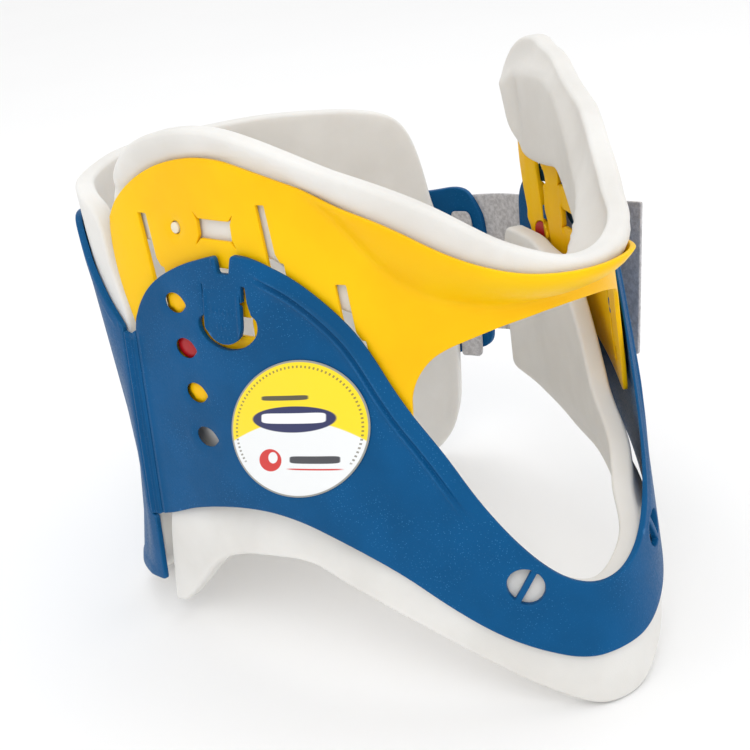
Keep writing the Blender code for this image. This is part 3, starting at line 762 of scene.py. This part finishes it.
def back_shell():
    """Panel around the back of the neck, with a raised band along its edge."""
    start, end = WEB_HIGH + SEAM, AROUND - 181.5
    outline = [(start, 41.0, 0.6), (start, 105.5, 1.0), (169.5, 108.5), (174, 114), (179, 125),
               (184, 134), (191, 139), (203, 138), (222, 131), (BACK_U, 127), (300, 121), (325, 112),
               (334, 110), (349, 111.8), (354.5, 105), (end, 97), (end, 56), (357, 47), (347, 44),
               (330, 40), (310, 28), (BACK_U, 12), (200, 10), (180, 12), (163.4, 14.5, 1.0),
               (163.4, 38.6, 1.0), (165.0, 39.0, 0.6)]
    path = smooth_path(outline, 1.2)
    path = path if area(path) > 0 else path[::-1]
    lines = []
    for off in (1.2, 2.4, 3.2, 3.8, 4.4, 5.2):
        line = offset(path, off)
        lines.append(line[distance(line, [(path, True)]) > off - 0.04])

    def banded(u, z):
        near = distance(np.column_stack([u, z]), [(path, True)])
        band = 0.4 * (1 - ramp(near, 3.0, 4.2)) * ramp(u, 168, 174)
        return swell(u, z) + band + 0.3 * bump(u, WEB_HIGH + 1.8, 0.9) * (z > 40)

    shell = sheet("back_shell", outline, banded, lambda u, z: swell(u, z) - SHELL, BLUE, lines=lines,
                  pitch=2.8, step=1.2)
    finish(shell, "back", "blue_shell", "back_panel")


def lock_tongue(word, side):
    """Spring tongue with a raised lip on its sides, a round end and rows of raised marks."""
    half = LOCK_HALF
    outline = [(LOCK_U + half - 0.1, LOCK_TOP, 0.3), (LOCK_U + half, LOCK_ROOT - 2, 1.0)]
    outline += [(p[0], p[1]) for p in oval(LOCK_U, LOCK_BOTTOM + 6.2, half, 6.2, 0, -180, 10)]
    outline += [(LOCK_U - half, LOCK_ROOT - 2, 1.0), (LOCK_U - half + 0.1, LOCK_TOP, 0.3)]

    def outer(u, z):
        s = np.abs(u)
        rise = LOCK_PROUD * (LOCK_TOP - z) / (LOCK_TOP - LOCK_BOTTOM)
        lip = 0.6 * bump(s, LOCK_U - half + 0.8, 1.0) + 0.4 * bump(s, LOCK_U + half - 0.7, 0.8)
        marks = 0.0
        for row, wide in ((118.6, 4.4), (114.2, 2.2), (110.4, 4.0)):
            dash = 0.5 + 0.5 * np.sin((s - LOCK_U) * 3.6 + row)
            marks = marks + 0.3 * ramp(dash, 0.4, 0.9) * bump(z, row, 1.0) * (np.abs(s - LOCK_U) < wide)
        return 0.06 + rise + lip * ramp(LOCK_TOP - z, 0, 3.0) + marks

    def inner(u, z):
        boss_across = 1 - ramp(np.abs(np.abs(u) - 110.0), 2.5, 3.5)
        boss_up = 1 - ramp(np.abs(z - LOCK_HOLE_Z + 2 * PITCH), 1.2, 2.0)
        rise = LOCK_PROUD * (LOCK_TOP - z) / (LOCK_TOP - LOCK_BOTTOM)
        root = ramp(z, LOCK_ROOT - 1.0, LOCK_ROOT - 0.2)
        return rise - 1.4 - 1.4 * boss_across * boss_up + 1.2 * root

    tongue = sheet("lock_tongue_" + word, flip(outline, side), outer, inner, BLUE, pitch=0.7, step=0.6,
                   edge=0.3)
    finish(tongue, "tab_" + word, "blue_shell", "lock_tab_" + word)


# ---------------------------------------------------------------- chin piece

CHIN_TOP = [(0, 133.2), (10, 133.8), (17, 135.2), (25, 138), (33, 141.3), (41, 145), (51, 148.8),
            (63, 151.7), (75, 155), (87, 158), (105, 161.8), (113, 163), (123, 163), (131, 162),
            (140, 160), (148.5, 156.7), (157, 152), (163.5, 147), (168, 142)]
CHIN_REAR = [(170.3, 137), (170, 128), (167.5, 119), (164, 111), (158, 97), (152.5, 86), (146, 81.5)]
CHIN_LOW = [(100, 81), (75, 74), (57, 70, 4), (52, 82), (50, 92), (49.5, 96.5), (46.7, 102), (41.5, 107.4),
            (36, 110.3), (30, 112.4), (19, 115.7), (6, 117.6)]
FLARE_START = [(0, 121), (10, 121.4), (20, 122), (30, 123), (38, 124.5), (46, 128), (54, 135), (61, 143),
               (70, 151), (82, 158), (94, 162), (113, 164), (134, 161.5), (148, 156), (160, 150)]
FLARE_END = [(0, 133), (10, 134), (20, 137), (30, 141), (42, 147), (52, 151), (61, 158), (70, 166),
             (82, 172), (113, 175), (134, 171), (148, 168), (160, 160)]
PAD_TOP = [(0, 136), (10, 139), (24, 147), (42, 154.5), (68, 161.4), (93, 168), (119, 175), (150, 170)]


def eased(points):
    """Smooth function of s through a polyline."""
    s = np.arange(-170.0, 170.1, 1.0)
    rough = np.interp(np.abs(s), *zip(*points))
    window = np.exp(-(np.arange(-12, 13) / 5.0) ** 2)
    smooth = np.convolve(np.pad(rough, 12, mode="edge"), window / window.sum(), mode="valid")
    return lambda at: np.interp(at, s, smooth)


flare_start, flare_end, pad_top = eased(FLARE_START), eased(FLARE_END), eased(PAD_TOP)


def flare(u, z):
    """Lean of the chin piece beyond the wall."""
    s = np.abs(u)
    left = ramp(-u, 3, 22)
    reach = SIDE_FLARE + FRONT_FLARE * np.exp(-(s / (FLARE_REACH - 8 * left)) ** 1.7)
    low = flare_start(s) * (1 - left) + np.maximum(pad_top(s) - 17, flare_start(s)) * left
    high = flare_end(s) * (1 - left) + np.maximum(pad_top(s) - 1, flare_end(s)) * left
    return reach * (1 - (1 - np.clip((z - low) / (high - low), 0, 1)) ** 1.8)


def shortfall(s):
    """How much nearer to the nose a point of the left wing lies than its twin on the right."""
    return WING_SHORT * (np.maximum(s - WING_START, 0) / WING_LENGTH) ** 1.5


def placed(points, side, at=None):
    """Right-hand points on either side; a feature moves as one when its own place is given."""
    if side > 0:
        return points
    return [(-p[0] + float(shortfall(p[0] if at is None else at)), *p[1:]) for p in reversed(points)]


def guide_slot(side, top_u, top_z, length):
    """Slot for a guide hook, with the wide part through which the hook is fitted."""
    half, wide = 1.9, 4.7
    wide_top, wide_low = 0.3 * length, 0.44 * length

    def edge(drop, off, r=0.5):
        u, z = lean_along(top_u, top_z, drop)
        return u - off, z, r

    front = [edge(length, half), edge(wide_low, half), edge(wide_low, 2.9), edge(wide_low - 1.6, wide),
             edge(wide_top + 1.0, wide), edge(wide_top + 1.0, 3.4), edge(wide_top - 1.5, half),
             edge(0, half)]
    return placed([edge(0, -half), edge(length, -half), *front], side, top_u)


def lock_hole(side, k):
    """Oblong hole with short relief cuts at its corners."""
    u, z = lean_along(LOCK_HOLE_U, LOCK_HOLE_Z, k * PITCH)
    cut = 2.0 if k == 0 else 0.8
    points = []
    for a, b in ((-1, -1), (1, -1), (1, 1), (-1, 1)):
        corner = (u + a * 7.6, z + b * 3)
        tip = (corner[0] + a * cut * 0.8, corner[1] + b * cut)
        one = (corner[0] - a * 0.7, corner[1], 0.2)
        two = (corner[0], corner[1] - b * 0.7, 0.2)
        points += [two, (*tip, 0.3), one] if a * b > 0 else [one, (*tip, 0.3), two]
    return placed(points, side, LOCK_HOLE_U)


def chin_relief(u, z):
    """Outer face: bead along the upper edge, dimple around the foam rivet, pads behind two windows."""
    s = np.abs(u)
    top = np.interp(s + np.where(u < 0, shortfall(s + 6), 0), *zip(*CHIN_TOP))
    bead = 0.28 * bump(top - z, 1.3, 1.2)
    middle = np.where(u > 0, RIVET_U, -placed([(RIVET_U, 0)], -1)[0][0])
    dimple = -0.55 * (1 - ramp(np.hypot(s - middle, z - RIVET_Z), 2.2, 4.6))
    pads = 0.0
    for side in (1, -1):
        for wu, wz in (windows(side)[0], windows(side)[2]):
            ring = np.hypot((u - wu) / (WINDOW_WIDE + 1.0), (z - wz) / (WINDOW_HIGH + 1.0))
            pads = pads + 1.3 * (1 - ramp(ring, 0.85, 1.0))
    return bead + dimple + pads


def chin_shell():
    """Yellow moulding that slides in the arms; the left wing is lower in front and ends sooner."""
    half = CHIN_TOP[1:] + CHIN_REAR + CHIN_LOW
    lowered = [(p[0], p[1] - 5 * float(ramp(p[0], 5, 25))) for p in CHIN_TOP[1:]]
    outline = half + [(0, 117.8)] + placed(lowered + CHIN_REAR + CHIN_LOW, -1) + [CHIN_TOP[0]]
    holes = []
    for side in (1, -1):
        holes += [guide_slot(side, *slot) for slot in GUIDE_SLOTS]
        holes += [lock_hole(side, k) for k in range(4)]
        holes.append(placed(arc(RIVET_U, RIVET_Z, 2.1, steps=12), side))
        holes.append(oval(*windows(side)[1], WINDOW_WIDE + 1.1, WINDOW_HIGH + 1.1))

    def inner(u, z):
        right = sum(bump(u, rib - (145 - z) * 0.06, 0.9) for rib in (137.5, 157.0, 161.5))
        left = sum(bump(-u, rib, 0.9) for rib in (116.0, 129.5, 144.0, 62.0, 57.0))
        return CHIN_DEPTH - CHIN_SHEET + flare(u, z) - 0.5 * (right + left) * (z < 138) * (z > 84)

    shell = sheet("chin_shell", outline, lambda u, z: CHIN_DEPTH + flare(u, z) + chin_relief(u, z), inner,
                  YELLOW, holes=holes, pitch=2.0, step=1.0)
    finish(shell, "chin", "yellow_shell", "chin_support")


def chin_pad():
    """Foam lining of the chin piece, standing above the plastic, with a lobe on each side."""
    top = [(4, 136.2), (10, 139), (17, 142.5), (24, 147), (32, 151), (42, 154.5), (53, 157.6), (68, 161.4),
           (80, 164.6), (93, 168), (107, 171), (119, 172)]
    rear = [(130, 171.4), (142, 169), (151, 165.6), (157, 160.8), (163, 154.7), (168.5, 148.5), (170, 142),
            (166, 136), (156, 134.2)]
    low = [(120, 134), (97, 135), (89, 132), (80, 126), (70, 120), (60, 118), (50, 118), (26, 121),
           (12, 127)]
    far_rear = [(125, 174), (136, 173), (144.5, 169), (148.8, 162), (147, 156), (145, 150), (142.5, 142.5),
                (137.5, 137), (130, 133.2), (121, 132.6), (111, 133.2, 2)]
    half, far_half = top + rear + low, top + far_rear + low[1:]
    outline = half + [(0, 129.5)] + mirror(far_half) + [(0, 135.6)]

    def outer(u, z):
        lean = flare(u, z)
        return CHIN_FOAM_DEPTH + lean - LEAN_GAP * ramp(lean, 0.0, SIDE_FLARE)

    def inner(u, z):
        dent = np.hypot((u + 134.5) / 4.0, (z - 148) / 11.0)
        side_push = 1.3 * ramp(-u, 129,
                               134) * (1 - ramp(-u, 134, 142)) * (1 - ramp(np.abs(z - 148), 8, 15))
        return outer(u, z) - FOAM + 0.5 * (1 - ramp(dent, 0.3, 1.0)) + side_push

    pad = sheet("chin_pad", outline, outer, inner, WHITE, edge=1.6, pitch=2.4, step=1.2, turns=4)
    finish(pad, "chin", "white_foam", "chin_foam")


def red_marker(word, side):
    """Plug that shows the chosen size through a window."""
    u, z = windows(side)[1]
    wide, high = WINDOW_WIDE + 0.8, WINDOW_HIGH + 0.8

    def domed(a, b):
        return CHIN_DEPTH + 1.5 - 0.5 * (((a - u) / wide) ** 2 + ((b - z) / high) ** 2)

    plug = sheet("red_marker_" + word, oval(u, z, wide, high), domed, CHIN_DEPTH - CHIN_SHEET, RED,
                 edge=0.3, pitch=0.8, step=0.6)
    finish(plug, "chin", "red_marker", "size_marker_" + word)


def pad_rivet(word, side):
    """Plastic rivet that pins the chin foam."""
    u, z = placed([(RIVET_U, RIVET_Z)], side)[0]

    def domed(a, b):
        return CHIN_DEPTH + 0.3 - 0.5 * (np.hypot(a - u, b - z) / 1.8) ** 2

    head = sheet("pad_rivet_" + word, arc(u, z, 1.8, steps=12), domed, CHIN_DEPTH - CHIN_SHEET, PALE,
                 edge=0.3, pitch=0.6, step=0.4)
    finish(head, "chin", "rivet_plastic", "foam_rivet_" + word)


# ---------------------------------------------------------------- foam, strap and label

def foam_wave(u, z):
    """Faint unevenness of a foam sheet."""
    return 0.12 * np.sin(u * 0.21 + 0.7) * np.sin(z * 0.17 + u * 0.05)


def front_pad():
    """Foam lining behind both arms and the nose."""
    top = [(15, 40), (24, 46), (36, 57), (50, 67), (62, 77), (72, 86.5), (82, 96), (90, 101.5),
           (98, 104.3), (150, 104.3, 4)]
    foot = [(64, 28), (44, 18), (31, 11), (21, 6), (13, 2), (6, 0)]
    right_low = [(154, 97), (155.5, 46), (158.5, 38), (160.5, 24), (162.2, 6, 2), (155.5, 7.5, 3), (147.4, 16),
                 (139, 25.5), (131.9, 31), (123, 35), (112, 37.5), (94, 40), (86, 37)] + foot
    left_low = [(155, 90), (153, 48, 4), (140, 47.5), (130, 46), (114, 39), (94, 38), (86, 36)] + foot
    outline = top + right_low + mirror(left_low) + mirror(top) + [(0, 35)]

    def outer(u, z):
        loose = 3.0 * ramp(-u, 40, 60) * (1 - ramp(-u, 110, 135)) * ramp(z, 42, 62)
        return BACK_FOAM_DEPTH + (BODY_FOAM_DEPTH - BACK_FOAM_DEPTH) * ramp(z, 40, 52) - loose

    def skin(u, z):
        wu, wz = windows(1)[3]
        ring = np.hypot((np.abs(u) - wu) / (WINDOW_WIDE + 2), (z - wz) / (WINDOW_HIGH + 2))
        return outer(u, z) + foam_wave(u, z) * (z < 40) + 0.7 * (1 - ramp(ring, 0.8, 1.2)) * (u > 0)

    pad = sheet("front_pad", outline, skin, lambda u, z: outer(u, z) - FOAM + foam_wave(u, z), WHITE,
                edge=1.3, pitch=2.8, step=1.3, turns=4)
    finish(pad, "front", "white_foam", "front_foam")


def back_pad():
    """Foam lining of the back panel; it is taller than the panel."""
    start, end = HINGE_U + 2.3, AROUND - 197
    outline = [(start, 22, 3), (start, 106), (168.5, 116), (171.3, 126), (171.6, 136), (173.5, 143.5),
               (180, 148.6), (192, 149.6), (202, 150.5), (216, 154.2), (240, 155), (268, 154), (283, 152),
               (310, 147), (321, 142), (327, 133), (331, 120), (334, 106), (end, 90), (end, 30),
               (end - 3, 16), (332, 7), (322, 1), (300, 0), (BACK_U, 0), (205, 0), (190, 6), (175, 13)]
    pad = sheet("back_pad", outline, lambda u, z: BACK_FOAM_DEPTH + swell(u, z), lambda u,
                z: BACK_FOAM_DEPTH - FOAM + swell(u, z) + foam_wave(u, z), WHITE, edge=1.4, pitch=3.2,
                step=1.4, turns=4)
    finish(pad, "back", "white_foam", "back_foam")


def closing_strap():
    """Loop-faced strap, riveted to the back panel and running past the left arm."""
    low, high, end = STRAP_LOW, STRAP_LOW + STRAP_WIDTH, STRAP_LENGTH
    outline = [(0, low, 0.8), (end - 5, low, 1.0), (end, high, 0.8), (0, high, 0.8)]

    def pile(q, z):
        return STRAP_THICK + 0.05 * np.sin(q * 2.7) * np.sin(z * 3.1)

    strap = sheet("closing_strap", outline, pile, 0.0, LOOP, place=strap_place, edge=0.4, pitch=1.8,
                  step=1.1)
    ends = [strap_place(q, 75.0, STRAP_THICK)[0].tolist() for q in (8.5, 17.5)]
    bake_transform(strap)
    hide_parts("strap", "strap_fixed_end")


def strap_pad():
    """Fabric backing inside the back panel's end."""
    u = AROUND - 196.4
    outline = [(u, 42, 1.5), (u + 9, 42, 2), (u + 10, 46), (u + 10, 96), (u + 8, 102, 2), (u, 102, 1.5)]
    pad = sheet("strap_pad", outline, -SHELL - 0.3, -SHELL - 1.3, LOOP, edge=0.35, pitch=1.5, step=1.0)
    finish(pad, "back", "grey_loop", "strap_backing")


def hook_field():
    """Hook pad on the left arm that holds the strap."""
    low, high = AROUND - 151, AROUND - 129
    outline = [(low, 74, 1.5), (high, 74, 1.5), (high, 104, 1.5), (low, 104, 1.5)]
    field = sheet("hook_field", outline, lambda u, z: 1.0 + 0.08 * np.sin(u * 3.3) * np.sin(z * 3.3), 0.3,
                  HOOK, edge=0.3, pitch=1.0, step=1.0)
    finish(field, "front", "black_hook", "hook_patch")


def round_label():
    """Sticker on the right arm, drawn oblique on the wall so that it looks round from the front right."""
    (ux, zx), (uy, zy) = LABEL_RIGHT, LABEL_UP
    outline = [(LABEL_U + ux * a + uy * b, LABEL_Z + zx * a + zy * b) for a, b in arc(0, 0, 1, steps=40)]
    label = sheet("round_label", outline, 0.42, 0.22, FILM, edge=0.09, pitch=2.4, step=1.0, turns=2)
    finish(label, "front", "label_film", "label")


def strap_stud(word, z):
    """Domed rivet head on the strap's fixed end."""
    q, r = 5.5, 3.2

    def domed(a, b):
        near = np.hypot(a - q, b - z) / r
        return STRAP_THICK + 1.1 - 0.6 * near ** 2 - 0.25 * bump(near, 0.0, 0.35)

    stud = sheet("strap_stud_" + word, arc(q, z, r, steps=16), domed, STRAP_THICK + 0.05, STUD, edge=0.3,
                 pitch=0.7, step=0.6, place=strap_place)
    finish(stud, "back", "rivet_plastic", "strap_rivet_" + word)


def finish(piece, body, slot, *nodes):
    """Tie a piece to its body and hide the CAD nodes that it stands for; the slot argument is not used."""
    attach(piece, body)
    if nodes:
        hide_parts(*nodes)


# ---------------------------------------------------------------- studio

AZIMUTH, ELEVATION, ROLL = math.radians(-31.31), math.radians(21.54), math.radians(-7.04)
VIEW_DISTANCE, LENS = 0.45977, 70.236
TARGET = Vector((-0.01873, -0.00356, 0.08493))
FLOOR_REACH, FLOOR_GAP = 12.0, 0.0003


def camera():
    """Camera at the photograph's angle, aimed at TARGET."""
    back = Vector((math.sin(AZIMUTH) * math.cos(ELEVATION), -math.cos(AZIMUTH) * math.cos(ELEVATION),
                   math.sin(ELEVATION)))
    right = Vector((math.cos(AZIMUTH), math.sin(AZIMUTH), 0))
    up = back.cross(right)
    turned_right = right * math.cos(ROLL) + up * math.sin(ROLL)
    turned_up = up * math.cos(ROLL) - right * math.sin(ROLL)
    data = bpy.data.cameras.new("camera")
    data.lens, data.sensor_width = LENS, 36.0
    data.clip_start, data.clip_end = 0.01, 20.0
    cam = shown("camera", data)
    rotation = np.array([turned_right, turned_up, back]).T
    cam.rotation_mode = "QUATERNION"
    cam.rotation_quaternion = Matrix(rotation.tolist()).to_quaternion()
    cam.location = TARGET + back * VIEW_DISTANCE
    bpy.context.scene.camera = cam


def area_light(name, place, aim, size, power, colour=(1, 1, 1)):
    data = bpy.data.lights.new(name, "AREA")
    data.shape, data.size, data.energy, data.color = "DISK", size, power, colour
    lamp = shown(name, data)
    lamp.location = place
    lamp.rotation_euler = (Vector(aim) - Vector(place)).to_track_quat("-Z", "Y").to_euler()


def studio():
    """Pale floor, white surroundings and large soft lights."""
    world = bpy.data.worlds.new("studio")
    bpy.context.scene.world = world
    world.use_nodes = True
    background = world.node_tree.nodes["Background"]
    background.inputs["Color"].default_value = (1.0, 1.0, 1.0, 1)
    background.inputs["Strength"].default_value = 1.0
    area_light("key", (-0.55, -0.75, 0.95), (0, 0, 0.08), 0.7, 3.2)
    area_light("top", (0.15, 0.25, 1.3), (0, 0, 0.1), 0.9, 2.0, (0.93, 0.96, 1.0))
    area_light("fill", (0.9, -0.7, 0.5), (0, 0, 0.08), 0.8, 0.8)
    mesh = bpy.data.meshes.new("floor")
    corners = [(a * FLOOR_REACH, b * FLOOR_REACH, 0) for a, b in ((-1, -1), (1, -1), (1, 1), (-1, 1))]
    mesh.from_pydata(corners, [], [(0, 1, 2, 3)])
    floor = shown("floor", mesh)
    floor.location.z = -FLOOR_GAP
    material, tree, shader, where = new_material("floor_paper")
    tint = mixed(tree, noise(tree, where, 3.0), (0.90, 0.90, 0.90, 1), (0.93, 0.93, 0.93, 1))
    tree.links.new(tint, shader.inputs["Base Color"])
    tune(shader, Roughness=0.9)
    mesh.materials.append(material)
    bpy.context.scene.view_settings.view_transform = "Standard"


camera()
studio()
front_shell()
guide_hooks()
hinge_web()
back_shell()
lock_tongue("right", 1)
lock_tongue("left", -1)
chin_shell()
chin_pad()
for word, side in (("right", 1), ("left", -1)):
    red_marker(word, side)
    pad_rivet(word, side)
front_pad()
back_pad()
closing_strap()
strap_pad()
hook_field()
round_label()
strap_stud("upper", 96)
strap_stud("lower", 62)
